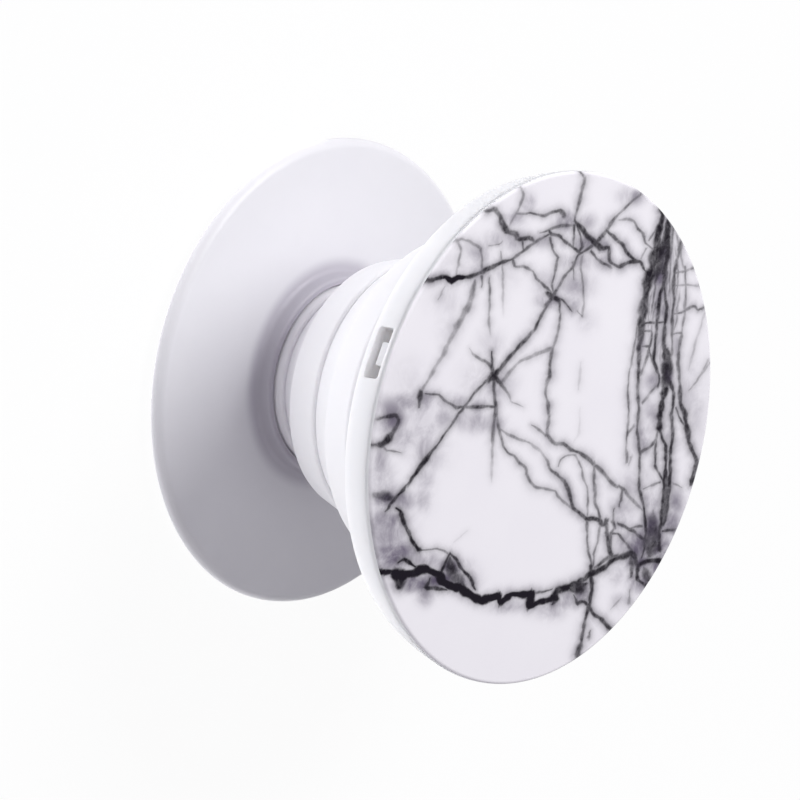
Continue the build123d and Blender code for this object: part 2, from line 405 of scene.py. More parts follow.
# base plate: crowned disc, collar round the neck, four snap fingers with slots between them
basePlate = {
    "rearRound": 0.25, "rimRound": 0.75, "floor": 1.8, "collarFoot": 8.25, "collarFootHeight": 2.1,
    "collarLip": 8.0, "collarTop": 3.25, "socket": 7.45, "footRound": 0.5, "lipRound": 0.3, "edgeRound": 0.1,
    "fingerCount": 4, "fingerBore": 3.4, "fingerOuter": 4.6, "fingerTop": 3.95, "fingerRoot": 0.3,
    "catchOuter": 5.25, "catchLow": 2.75, "catchHigh": 3.05, "catchRound": 0.06,
    "slot": 1.0, "slotHeight": 4.0, "slotStart": 1.0, "slotDepth": 6.0,
    "steps": 320, "fingerSteps": 96, "crownSteps": 10, "rimSteps": 8,
}
baseLook = {
    "light": (0.765, 0.76, 0.785), "shade": (0.725, 0.72, 0.755), "mottleShare": 0.7, "mottleScale": 260.0,
    "grainScale": 6500.0, "roughness": (0.36, 0.5), "bump": 0.12, "bumpDepth": 0.00003, "ior": 1.46,
    # painted shade: collar, socket and fingers take a deeper tone that fades out over the plate by 9.7 mm,
    # for the shade at the collar's foot
    "crease": (8.3, 9.7), "creaseTone": (0.49, 0.47, 0.525),
}
basePlastic = mouldedFinish("basePlastic", baseLook)
baseLow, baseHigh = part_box("base_plate")
rimRadius = baseHigh.x / mm
baseRear = baseLow.z / mm
rimRound = basePlate["rimRound"]
rimFront = baseRear + basePlate["rearRound"] + rimRound
crownEdge = rimRadius - rimRound
foot = basePlate["collarFoot"]
footHeight = basePlate["collarFootHeight"]
crownMid = (crownEdge + foot) / 2
crownRise = footHeight - rimFront
crownFall = (crownMid ** 2 - foot ** 2) / (crownEdge ** 2 - foot ** 2)
crown = arcThrough((foot, footHeight), (crownMid, footHeight - crownRise * crownFall), (crownEdge, rimFront),
                   basePlate["crownSteps"])
rim = [(crownEdge + rimRound * math.sin(a), rimFront - rimRound * (1 - math.cos(a)))
       for a in np.linspace(0, math.pi / 2, basePlate["rimSteps"] + 1)[1:]]
socket = basePlate["socket"]
socketFloor = basePlate["floor"]
collarTop = basePlate["collarTop"]
eased = basePlate["edgeRound"]
baseSection = ([(0, socketFloor), (socket, socketFloor, eased), (socket, collarTop, eased),
                (basePlate["collarLip"], collarTop, basePlate["lipRound"]),
                (*crown[0], basePlate["footRound"])] + crown[1:] + rim
               + [(rimRadius, baseRear, basePlate["rearRound"]), (0, baseRear)])
discMesh = turn("basePlate", baseSection, basePlastic, closed=False, steps=basePlate["steps"])
bore = basePlate["fingerBore"]
fingerOuter = basePlate["fingerOuter"]
fingerTop = basePlate["fingerTop"]
fingerRoot = socketFloor - basePlate["fingerRoot"]
catchOuter = basePlate["catchOuter"]
fingerSection = [
    (bore, fingerRoot), (bore, fingerTop, eased), (fingerOuter, fingerTop, eased),
    (catchOuter, basePlate["catchHigh"], basePlate["catchRound"]),
    (catchOuter, basePlate["catchLow"], basePlate["catchRound"]),
    (fingerOuter, basePlate["catchLow"]), (fingerOuter, fingerRoot)]
fingerMesh = turn("snapFingers", fingerSection, basePlastic, steps=basePlate["fingerSteps"])
fingerMesh = cutOpenings(
    "snapFingers", fingerMesh, basePlastic, basePlate["fingerCount"], 0.0, Length=basePlate["slot"],
    Height=basePlate["slotHeight"], Middle_Height=socketFloor + basePlate["slotHeight"] / 2, Corner_Round=0.0,
    Inner_Radius=basePlate["slotStart"], Depth=basePlate["slotDepth"])
work = bmesh.new()
work.from_mesh(discMesh)
work.from_mesh(fingerMesh)
baseMesh = bpy.data.meshes.new("basePlate")
work.to_mesh(baseMesh)
work.free()
baseMesh.materials.append(basePlastic)
basePiece = newPiece("basePlate", baseMesh)
settle(basePiece, "base", "base_plate")
print("base plate", len(baseMesh.polygons))

# accordion: stiff rings joined by thin folding walls, one elastomer moulding
bellows = {
    "neck": 7.35, "neckBore": 6.05, "neckHole": 4.7, "neckFlange": 0.8, "neckLength": 2.2, "neckRound": 0.15,
    "rings": [(10.0, 11.0, 3.45), (13.2, 13.9, 3.0), (15.6, 15.6, 2.1)],  # rear radius, front radius, height
    "flange": 0.65, "ringWall": 1.5, "foldStep": 0.35, "foldWall": 0.7, "rearRound": 0.2, "frontRound": 0.3,
    "innerRound": 0.15, "edgeRound": 0.1, "steps": 288, "roundSteps": 4,
}
bellowsLook = {
    "light": (0.945, 0.945, 0.96), "shade": (0.92, 0.92, 0.945), "mottleShare": 0.7, "mottleScale": 320.0,
    "grainScale": 5200.0, "roughness": (0.46, 0.6), "bump": 0.1, "bumpDepth": 0.00003, "ior": 1.42,
    # painted shade: the neck, first fold and first ring take a slightly deeper tone, fading out by 12.5 mm
    # from the axis, for the shade deep between base and disc
    "glowThrough": 0.25, "glowDepth": 0.001, "crease": (7.5, 12.5), "creaseTone": (0.90, 0.885, 0.92),
}
bellowsElastomer = mouldedFinish("bellowsElastomer", bellowsLook)
bellowsLow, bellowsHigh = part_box("accordion")
seat = bellowsLow.z / mm
bellowsTop = bellowsHigh.z / mm
flangeUnder = bellowsTop - bellows["flange"]
flangeOut = bellowsHigh.x / mm
neck = bellows["neck"]
neckTop = seat + bellows["neckLength"]
flangeTop = seat + bellows["neckFlange"]
ringsHeight = sum(ring[2] for ring in bellows["rings"])
foldRise = (flangeUnder - neckTop - ringsHeight) / len(bellows["rings"])
foldStep = bellows["foldStep"]
foldIn = foldStep + bellows["foldWall"]
ringWall = bellows["ringWall"]
eased = bellows["edgeRound"]
outside = [(neck, seat, bellows["neckRound"]), (neck, neckTop, bellows["frontRound"]),
           (neck - foldStep, neckTop)]
inside = [(bellows["neckHole"], seat, eased), (bellows["neckHole"], flangeTop, eased),
          (bellows["neckBore"], flangeTop, eased), (bellows["neckBore"], neckTop), (neck - foldIn, neckTop)]
front = neckTop
for number, (rearRadius, frontRadius, height) in enumerate(bellows["rings"]):
    rear = front + foldRise
    front = rear + height
    outside += [(rearRadius - foldStep, rear), (rearRadius, rear, bellows["rearRound"])]
    inside += [(rearRadius - foldIn, rear), (rearRadius - ringWall, rear, bellows["innerRound"])]
    if number < len(bellows["rings"]) - 1:
        outside += [(frontRadius, front, bellows["frontRound"]), (frontRadius - foldStep, front)]
        inside += [(frontRadius - ringWall, front, bellows["innerRound"]), (frontRadius - foldIn, front)]
    else:  # the last ring runs into the flange
        outside.append((frontRadius, front))
        inside.append((frontRadius - ringWall, bellowsTop, eased))
outside += [(flangeOut, flangeUnder, eased), (flangeOut, bellowsTop, eased)]
bellowsMesh = turn("accordionBellows", list(reversed(outside)) + inside, bellowsElastomer,
                   steps=bellows["steps"], roundSteps=bellows["roundSteps"])
accordion = newPiece("accordionBellows", bellowsMesh)
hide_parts("accordion")
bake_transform(accordion)
print("accordion", len(bellowsMesh.polygons))

# top cup: rear half of the disc, with four snap windows in its wall
cup = {
    "floor": 0.8, "bore": 18.55, "hole": 15.8, "rearRadius": 19.0, "bulge": 0.12, "rearRound": 0.4,
    "edgeRound": 0.1, "frontRound": 0.05, "holeRound": 0.12, "steps": 360, "wallSteps": 12,
    "windowCount": 4, "windowAngle": -97.0, "windowLength": 4.0, "windowBar": 0.35, "windowSill": 0.1,
    "windowRound": 0.3, "windowStart": 17.6, "windowDepth": 4.0,
}
cupLook = {
    "light": (0.88, 0.88, 0.90), "shade": (0.85, 0.85, 0.875), "mottleShare": 0.7, "mottleScale": 240.0,
    "grainScale": 7000.0, "roughness": (0.32, 0.44), "bump": 0.02, "bumpDepth": 0.00003, "ior": 1.48,
    "glowThrough": 0.7, "glowDepth": 0.0025,
}
discPlastic = mouldedFinish("discPlastic", cupLook)
cupLow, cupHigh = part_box("top_cup")
cupRear = cupLow.z / mm
cupFront = cupHigh.z / mm
cupRadius = cupHigh.x / mm
cupFloor = cupRear + cup["floor"]
cupMid = ((cup["rearRadius"] + cupRadius) / 2 + cup["bulge"], (cupRear + cupFront) / 2)
cupWall = arcThrough((cupRadius, cupFront), cupMid, (cup["rearRadius"], cupRear), cup["wallSteps"])
cupSection = ([(cup["hole"], cupFloor, cup["edgeRound"]), (cup["bore"], cupFloor, cup["edgeRound"]),
               (cup["bore"], cupFront, cup["frontRound"])] + cupWall[:-1]
              + [(*cupWall[-1], cup["rearRound"]), (cup["hole"], cupRear, cup["holeRound"])])
cupMesh = turn("topCup", cupSection, discPlastic, steps=cup["steps"])
windowHigh = cupFront - cup["windowBar"]
windowLow = cupFloor + cup["windowSill"]
cupMesh = cutOpenings(
    "topCup", cupMesh, discPlastic, cup["windowCount"], cup["windowAngle"], Length=cup["windowLength"],
    Height=windowHigh - windowLow, Middle_Height=(windowHigh + windowLow) / 2,
    Corner_Round=cup["windowRound"], Inner_Radius=cup["windowStart"], Depth=cup["windowDepth"])
topCup = newPiece("topCup", cupMesh)
settle(topCup, "disc", "top_cup")
print("top cup", len(cupMesh.polygons))

# face plate: printed front, lip over the cup's edge, clamp ring and hooks behind
plate = {
    "lip": 0.5, "thickness": 0.9, "edgeRound": 0.25, "lipRound": 0.05, "backRound": 0.1, "spigot": 18.45,
    "clampOuter": 17.2, "clampInner": 16.0, "clampEnd": 23.0, "hookInner": 17.6, "hookOuter": 18.4,
    "hookEnd": 22.55, "hookRoot": 0.1, "hookWidth": 1.8, "hookEase": 0.06, "barbTip": 19.3, "barbLow": 23.1,
    "barbHigh": 24.1, "steps": 720, "roundSteps": 5, "weld": 0.003,
    "printEdge": 19.7, "printDrop": 0.14, "printReach": 0.01, "veinGap": 0.04, "groundGap": 0.2,
    "groundStep": 0.32, "nearest": 1e-5,
}
_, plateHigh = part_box("face_plate")
discRadius = plateHigh.x / mm
faceHeight = plateHigh.z / mm

# marble veins as read off the photo: widths in pixels and darkness along the run, then its points
veins = {
    "shoulder": ((3.2, 4, 4, 2.6, 2.4, 2.2), (0.88, 0.86, 0.72), [
        (428, 281), (437, 278), (446, 276), (451, 281), (459, 277), (470, 277), (482, 272), (494, 266),
        (501, 263), (512, 259), (522, 252), (535, 242), (542, 238), (550, 234), (560, 236)]),
    "shoulderPost": ((2,), (0.46,), [(458, 241), (461, 249), (459, 260), (456, 276)]),
    "shoulderArch": ((2.2,), (0.5,), [
        (457, 241), (461, 239), (469, 241), (480, 248), (482, 257), (482, 270)]),
    "topStub": ((2, 5, 6, 3, 3), (0.7, 0.86, 0.76), [
        (487, 211), (495, 209), (500, 216), (503, 225), (507, 232), (515, 233), (518, 239), (530, 238),
        (535, 242)]),
    "topHair": ((2,), (0.5,), [(521, 187), (524, 195), (520, 206), (515, 215), (509, 227)]),
    "topRun": ((2.2,), (0.63,), [
        (517, 214), (531, 213), (543, 216), (553, 212), (561, 210), (565, 214), (563, 217)]),
    "faintTie": ((2,), (0.45,), [(489, 246), (500, 244), (503, 241)]),
    "tie": ((2,), (0.75,), [(523, 239), (523, 250)]),
    "stepVein": ((2.4,), (0.65,), [
        (513, 259), (515, 267), (524, 266), (534, 272), (536, 279), (543, 284), (553, 295)]),
    "dropToNode": ((2.2,), (0.65,), [
        (550, 238), (553, 250), (558, 257), (555, 271), (552, 285), (554, 294)]),
    "hairLeft": ((2,), (0.42, 0.36, 0), [(501, 251), (502, 262), (503, 282), (503, 300), (503, 320)]),
    "hairFarLeft": ((2,), (0.6, 0.55, 0.35), [(489, 278), (490, 293), (489, 320), (490, 335)]),
    "secondDiagonal": ((4.5, 5.5, 4, 3, 2), (0.55, 0.48, 0.4), [
        (475, 280), (471, 297), (469, 306), (459, 323), (451, 338), (443, 355), (432, 373), (421, 392)]),
    "secondRoot": ((2.5,), (0.6,), [(482, 276), (482, 287)]),
    "shoulderDrip": ((2,), (0.35,), [(445, 286), (438, 300)]),
    "topVein": ((2.6,), (0.62,), [(581, 172), (585, 177), (582, 191), (578, 207), (575, 217), (575, 221)]),
    "topFork": ((3.2,), (0.83,), [
        (575, 221), (584, 229), (589, 236), (597, 243), (603, 249), (609, 247), (609, 258), (611, 263),
        (619, 267), (625, 264), (632, 261), (641, 262), (643, 268), (646, 272)]),
    "forkStrandLeft": ((1.8,), (0.72,), [(574, 225), (574, 238), (573, 247)]),
    "forkStrandRight": ((2,), (0.76,), [(578, 226), (581, 238), (583, 247), (579, 252)]),
    "upperRail": ((2.4,), (0.7,), [(540, 233), (549, 230), (557, 227), (568, 225), (574, 226)]),
    "lowerRail": ((2.6,), (0.78,), [
        (549, 230), (551, 234), (560, 236), (566, 242), (573, 247), (579, 253)]),
    "longDiagonal": (
        (2, 2.8, 2.4, 2.2, 3, 2.4, 1.8, 2.4, 2.8),
        (0.5, 0.74, 0.72, 0.72, 0.85, 0.8, 0.76, 0.86, 0.78), [
        (642, 194), (632, 201), (622, 211), (613, 220), (607, 230), (599, 239), (593, 245), (584, 251),
        (578, 255), (572, 268), (563, 278), (557, 290), (553, 296), (546, 308), (535, 329), (520, 346),
        (506, 361), (494, 376), (485, 382), (475, 393), (464, 407), (455, 420), (442, 438), (434, 449),
        (424, 460), (409, 483), (402, 491), (394, 500), (385, 512)]),
    "rightLattice": ((3.2,), (0.84,), [
        (607, 231), (615, 238), (622, 244), (627, 252), (631, 257), (635, 261)]),
    "arcVein": ((2, 2.4), (0.3, 0.65, 0.65), [
        (617, 220), (630, 219), (634, 221), (637, 228), (643, 233), (645, 243), (653, 249)]),
    "arcTieUpper": ((1.6,), (0.56,), [(657, 227), (649, 241)]),
    "arcTieLower": ((1.6,), (0.44,), [(646, 248), (641, 259)]),
    "lowLattice": ((2.3,), (0.74,), [(591, 251), (597, 259), (603, 263), (610, 266)]),
    "hairRight": ((1.8,), (0.45,), [(582, 257), (581, 268), (583, 282), (584, 303), (582, 317)]),
    "hairShort": ((1.8,), (0.6,), [(573, 262), (574, 280)]),
    "nodeSpur": ((2,), (0.69,), [(555, 296), (564, 301), (572, 312)]),
    "nodeSpurEnd": ((2,), (0.5,), [(577, 311), (582, 316)]),
    "paleUpper": ((2,), (0.16,), [(581, 362), (578, 390)]),
    "paleLower": ((2,), (0.1,), [(580, 407), (579, 433), (573, 443)]),
    "middleVein": ((2.6, 2.6, 3, 3.4), (0.7,), [
        (559, 300), (560, 314), (558, 333), (553, 347), (550, 361), (550, 376), (546, 385), (545, 395),
        (548, 403), (549, 415), (547, 435), (551, 441), (556, 444), (564, 444), (571, 450), (580, 453),
        (587, 457), (593, 464), (603, 472), (610, 481), (617, 487)]),
    "middleBranch": ((3.2, 3, 3, 3), (0.68, 0.5, 0.42, 0.42, 0.46, 0.5), [
        (552, 348), (542, 352), (533, 356), (521, 361), (510, 371), (503, 381)]),
    "starUp": ((2.4,), (0.83,), [(492, 351), (492, 366), (494, 376)]),
    "starLeft": ((1.8, 2.2, 3, 3), (0.35, 0.6, 0.78, 0.82), [
        (469, 348), (473, 354), (481, 360), (486, 361), (491, 367), (494, 376)]),
    "starRight": ((5, 4), (0.88,), [(494, 376), (502, 385)]),
    "starTail": ((3.2, 2.4, 1.8, 1.8), (0.76, 0.62, 0.46, 0.4), [
        (502, 385), (508, 394), (511, 402), (518, 404), (523, 407)]),
    "starDown": ((3, 3, 2.4, 2), (0.84, 0.8, 0.45, 0.12), [
        (494, 376), (494, 392), (496, 406), (495, 417), (493, 433), (492, 460), (492, 482)]),
    "starHeart": ((6,), (0.92,), [(493, 374), (494, 377)]),
    "crossBar": ((2.6,), (0.77,), [
        (425, 394), (439, 395), (444, 400), (451, 404), (456, 408), (464, 407), (478, 407), (489, 406),
        (496, 407)]),
    "crossStub": ((4.5,), (0.8,), [(421, 391), (419, 407)]),
    "leftHook": ((2.5, 4.5, 4, 3, 5.5, 5.5, 3.5), (0.74, 0.88, 0.78, 0.74, 0.9, 0.9, 0.7), [
        (378, 419), (387, 417), (396, 415), (399, 421), (395, 430), (389, 438), (382, 445), (372, 445)]),
    "hookTail": ((1.8,), (0.54,), [(382, 445), (386, 450), (401, 453)]),
    "lowerLeft": ((3.4,), (0.92,), [
        (396, 508), (401, 511), (403, 522), (409, 533), (411, 540), (419, 550)]),
    "dotted": ((1.5,), (0.68,), [(420, 550), (427, 550), (436, 549), (443, 550), (448, 554)]),
    "tentLeft": ((2.4,), (0.91,), [(450, 553), (445, 563), (441, 572)]),
    "tentRight": ((2.4, 2.8), (0.91,), [(450, 553), (457, 560), (462, 569), (471, 579), (475, 590)]),
    "smallArch": ((4,), (0.92,), [(398, 563), (404, 559), (411, 564), (415, 567)]),
    "blackSeam": ((5, 6.5, 7, 6.5, 6, 6.5, 7, 6.5), (0.94, 1, 1, 1, 1, 1, 1, 1), [
        (381, 572), (390, 572), (399, 576), (406, 574), (414, 574), (420, 570), (426, 569), (432, 572),
        (440, 575), (441, 581), (450, 586), (460, 588), (472, 596), (482, 601), (487, 598), (498, 596)]),
    "blackBlob": ((11, 10), (1,), [(397, 575), (402, 575)]),
    "blackTooth": ((6, 4), (1,), [(498, 597), (501, 604)]),
    "blackZigzag": ((4, 5, 6, 6, 5), (1,), [(501, 602), (506, 598), (513, 594), (522, 595), (531, 594)]),
    "zigzagDrop": ((6, 6), (1,), [(532, 593), (530, 600), (528, 606)]),
    "zigzagRise": ((4.5, 5, 5.5), (1, 0.93), [(528, 607), (538, 603), (548, 600), (555, 598)]),
    "zigzagThin": ((2,), (0.8,), [(533, 593), (542, 592), (553, 589)]),
    "blackRise": ((7, 5, 4, 5), (0.95, 0.88), [
        (555, 597), (557, 591), (566, 588), (574, 584), (584, 579), (591, 574)]),
    "blobDrip": ((10, 9, 5), (0.95, 0.92, 0.85), [(399, 576), (400, 583), (399, 588)]),
    "smallTent": ((3.4,), (0.9,), [(430, 578), (426, 588), (436, 588), (447, 590)]),
    "fringe": ((2.3,), (0.58,), [
        (496, 407), (497, 422), (501, 436), (503, 445), (508, 454), (514, 456), (519, 462), (526, 468),
        (527, 475), (530, 482), (536, 487), (545, 489), (555, 491), (558, 496), (564, 502), (572, 508)]),
    "fringeLow": ((2.4, 2.4, 3, 3.2), (0.5, 0.35, 0.7, 0.85, 0.85), [
        (501, 430), (507, 434), (519, 439), (531, 443), (534, 446), (540, 451), (548, 461), (550, 469),
        (557, 475), (564, 481), (569, 490), (571, 502), (574, 509), (580, 513), (587, 519), (593, 518),
        (600, 521), (601, 525), (605, 524), (606, 520)]),
    "fringeTie": ((2.2,), (0.55,), [(532, 425), (546, 435)]),
    "archRight": ((2,), (0.48,), [
        (558, 467), (561, 459), (567, 455), (575, 455), (577, 459), (582, 468), (583, 477), (587, 486),
        (588, 502), (587, 516)]),
    "postRight": ((2.6,), (0.73,), [
        (594, 464), (594, 481), (595, 492), (595, 503), (598, 510), (600, 520)]),
    "dropLeft": ((2.2,), (0.64,), [(587, 520), (587, 537), (588, 551), (592, 565)]),
    "dropMiddle": ((1.8,), (0.54,), [(600, 526), (598, 540), (594, 553), (593, 566)]),
    "dropRight": ((4,), (0.78,), [(606, 521), (607, 532), (608, 542), (611, 555)]),
    "postShort": ((2,), (0.68,), [(614, 508), (613, 520), (615, 529)]),
    "postTop": ((2,), (0.6,), [(620, 486), (623, 489), (621, 500), (619, 507)]),
    "barbUpper": ((2.4, 3.2, 2.4, 2.2), (0.8, 0.78, 0.72, 0.68), [
        (618, 524), (623, 526), (629, 529), (635, 532), (641, 537), (646, 542)]),
    "barbSpur": ((2.4, 2.2), (0.78, 0.7), [(629, 529), (635, 527), (642, 526)]),
    "barbLower": ((2,), (0.66, 0.58), [(613, 533), (619, 534), (623, 540), (629, 547), (632, 551)]),
    "seamRight": ((5,), (0.9,), [
        (592, 573), (597, 572), (605, 567), (612, 560), (622, 557), (632, 553), (635, 557), (636, 563)]),
    "seamEnd": ((4,), (0.91,), [(640, 564), (647, 561), (653, 560), (659, 561)]),
    "seamDrop": ((3,), (0.88,), [(638, 565), (637, 580), (642, 583), (645, 585)]),
    "nodeDown": ((4.5, 3.5), (0.87,), [(591, 566), (591, 575), (592, 590), (590, 602), (589, 607)]),
    "rootRight": ((3.5,), (0.86,), [(589, 607), (593, 614), (599, 617), (604, 623), (610, 628)]),
    "rootLeft": ((3, 3.5, 4.5), (0.84,), [(588, 609), (586, 617), (583, 633), (581, 643), (577, 655)]),
    "rootLoop": ((2.5,), (0.84,), [(574, 595), (577, 604), (583, 601), (589, 607)]),
    "rootMark": ((2.5,), (0.66,), [(590, 630), (589, 637)]),
    "faintRight": ((2,), (0.35,), [(610, 610), (622, 597)]),
    "faintPost": ((2,), (0.6,), [(630, 589), (629, 603)]),
    "faintLeft": ((2,), (0.16,), [(467, 531), (454, 542)]),
    "trunkLeft": (
        (3.5, 7, 9, 7.5, 4, 2.6, 2.2, 2.2, 2.2, 2.4, 2.6),
        (0.87, 0.9, 0.9, 0.86, 0.8, 0.76, 0.74, 0.76, 0.78, 0.8, 0.82), [
        (661, 210), (663, 215), (660, 228), (658, 238), (656, 248), (652, 269), (648, 280), (646, 294),
        (643, 310), (641, 332), (639, 347), (639, 361), (638, 385), (638, 401), (639, 411), (637, 431),
        (639, 447), (640, 457), (639, 490), (641, 495), (644, 508), (645, 519), (646, 530), (645, 543),
        (642, 558)]),
    "trunkMiddle": ((4, 6.5, 7, 5), (0.85, 0.88, 0.87, 0.8), [
        (668, 220), (667, 235), (667, 250), (666, 262), (664, 273)]),
    "trunkRight": ((3,), (0.6,), [(673, 226), (672, 241), (670, 258)]),
    "trunkOuter": ((3, 3.2, 2.6, 2.2), (0.78, 0.72, 0.6), [
        (682, 240), (679, 253), (676, 264), (674, 278), (673, 289), (675, 298), (673, 309), (672, 322),
        (672, 344), (671, 361)]),
    "strandMiddle": ((3.6, 2.8, 2.4), (0.86,), [
        (666, 272), (664, 285), (660, 293), (659, 303), (657, 324), (655, 344), (654, 361), (657, 372)]),
    "strandRight": ((2.6, 2.6, 3.4, 5), (0.85,), [
        (664, 285), (665, 296), (667, 307), (665, 324), (664, 344), (664, 355), (666, 364), (667, 377),
        (670, 382)]),
    "strandOuter": ((1.8, 2.2, 2.4, 3, 4.2, 4.2, 3.6), (0.6, 0.64, 0.84, 0.88), [
        (685, 267), (686, 285), (685, 310), (682, 333), (679, 350), (678, 362), (679, 375), (680, 388),
        (680, 402), (684, 411), (687, 426), (689, 443), (694, 454), (697, 462), (694, 472), (691, 485)]),
    "strandLeft": ((1.8,), (0.5, 0.5, 0.66, 0.68, 0.62), [
        (638, 319), (637, 333), (633, 355), (629, 374), (628, 392), (629, 412), (627, 435), (626, 447),
        (627, 462)]),
    "knotStem": ((4.4,), (0.89,), [(666, 389), (662, 403), (660, 415), (659, 428)]),
    "knotLeft": ((2.2,), (0.8,), [(659, 428), (656, 439), (655, 454), (655, 465), (660, 475), (664, 482)]),
    "knotMiddle": ((3,), (0.87,), [
        (659, 428), (663, 440), (666, 445), (666, 457), (665, 475), (664, 488), (662, 507), (661, 524),
        (659, 534), (659, 549)]),
    "knotRight": ((2.8,), (0.84,), [
        (670, 382), (674, 394), (673, 407), (671, 415), (673, 431), (671, 447), (670, 457), (670, 475),
        (669, 488), (668, 503), (666, 516), (663, 525)]),
    "outerTie": ((1.6,), (0.7,), [(676, 408), (679, 417), (684, 425)]),
    "linkTop": ((2.4,), (0.56,), [(676, 273), (686, 271), (694, 268)]),
    "linkUpper": ((2,), (0.38,), [(675, 286), (686, 285), (700, 286)]),
    "linkMiddle": ((2.2,), (0.63,), [(673, 314), (683, 312), (687, 309), (694, 306), (698, 310)]),
    "linkInner": ((2,), (0.78,), [(645, 323), (656, 323), (665, 322)]),
    "linkStep": ((2.2,), (0.75,), [
        (644, 331), (652, 331), (652, 338), (649, 348), (651, 357), (654, 364), (659, 375), (659, 381),
        (658, 387)]),
    "linkShort": ((2,), (0.75,), [(642, 346), (649, 346)]),
    "linkOuter": ((2,), (0.66,), [(673, 334), (681, 333)]),
    "linkLow": ((2.4,), (0.72,), [(641, 452), (651, 446), (656, 440)]),
    "linkFaint": ((2,), (0.55,), [(643, 489), (660, 482)]),
    "linkFaintRight": ((2,), (0.45,), [(671, 482), (682, 488)]),
    "slantInner": ((1.8,), (0.45,), [(657, 385), (642, 403)]),
    "slantEdge": ((1.8,), (0.34,), [(711, 362), (689, 391)]),
    "slantLong": ((1.8,), (0.25,), [(705, 312), (694, 349), (688, 370)]),
    "slantShort": ((1.8,), (0.3,), [(708, 361), (699, 378)]),
    "linkBottom": ((2.2,), (0.8,), [(662, 531), (674, 530)]),
    "tickLeft": ((1.8,), (0.56,), [(634, 426), (627, 435)]),
    "tickLow": ((1.8,), (0.48,), [(631, 457), (629, 466)]),
    "bundleCore": ((4, 8, 9, 7, 2), (0.8, 0.84, 0.84, 0.8, 0.6), [
        (666, 230), (664, 243), (661, 257), (658, 269), (655, 283)]),
    "knot": ((5, 8, 9, 10, 5), (0.8,), [(667, 350), (667, 360), (667, 370), (666, 380), (666, 390)]),
    "bundleStem": ((4, 6, 7, 6), (0.76, 0.8, 0.78, 0.72), [(667, 478), (666, 492), (665, 506), (663, 522)]),
    "bundleFoot": ((3, 11, 14, 12), (0.4, 0.66, 0.78, 0.82), [
        (653, 510), (653, 525), (652, 540), (650, 556)]),
    "bundleSlant": ((2.2,), (0.6, 0.5), [(649, 351), (646, 360), (643, 369), (640, 376)]),
    "wedge": ((4, 11, 9), (0.86, 0.89, 0.86), [(569, 588), (577, 587.5), (586, 584)]),
    "trunkFlank": ((2.5, 4, 3.5, 2.5), (0.78,), [(595, 568), (602, 562.5), (610, 557), (618, 555.5)]),
    "trunkEndShade": ((4, 5, 4), (0.7,), [(632, 556), (632, 566), (631, 577)]),
    "cornerShade": ((6, 8, 6), (0.72,), [(643, 567), (646, 573), (648, 580)]),
    "webTop": ((2.2, 2.6, 2), (0.7, 0.62), [
        (619, 486), (624, 489), (628, 496), (634, 501), (640, 507), (645, 513)]),
    "webLeft": ((2.4,), (0.62,), [(613, 522), (615, 528), (611, 533), (610, 541), (611, 552)]),
    "starSlash": ((3, 5, 4, 2.5), (0.9,), [(488, 380.5), (493, 376), (498, 370.5), (503, 365.5)]),
    "diagonalAccent": ((1.8, 4.2, 3.4, 2.2), (0.8, 0.92, 0.88, 0.7), [
        (434, 449), (428, 457), (419, 469), (407, 486)]),
    "tentFill": ((4, 13, 15, 7), (0.7, 0.76, 0.76, 0.72), [(449, 557), (451, 567), (455, 577), (463, 586)]),
    "smudgeLeft": ((4, 9, 7), (0.5, 0.62, 0.58), [(375, 495), (384, 496), (393, 499)]),
    "forkBody": ((3, 5, 5, 4, 3), (0.8, 0.86, 0.86, 0.84, 0.78), [
        (576, 222), (582, 230), (588, 237), (595, 244), (600, 249)]),
    "nodeBody": ((3, 5.5, 4), (0.85,), [(548, 293), (553, 297), (559, 300)]),
    "nodeSlash": ((3, 4, 3), (0.8,), [(546, 306), (551, 299), (556, 291)]),
    "runEnd": ((2.5, 4.5, 3), (0.76,), [(556, 211), (561, 211), (565, 216)]),
    "zigzagShade": ((5, 8, 6), (0.78,), [(556, 592), (555, 599), (552, 605)]),
    "linkMiddleEnd": ((2,), (0.62,), [(698, 310), (704, 308)]),
    "shoulderKnot": ((3, 4, 4.6, 3.4, 2.6), (0.9, 0.98, 1, 0.98, 0.88), [
        (436, 278.5), (446, 276.5), (451, 281), (459, 277.5), (470, 277)]),
    "knotJoin": ((8, 7, 5), (0.84, 0.88), [(666, 374), (665, 383), (664, 393)]),
}
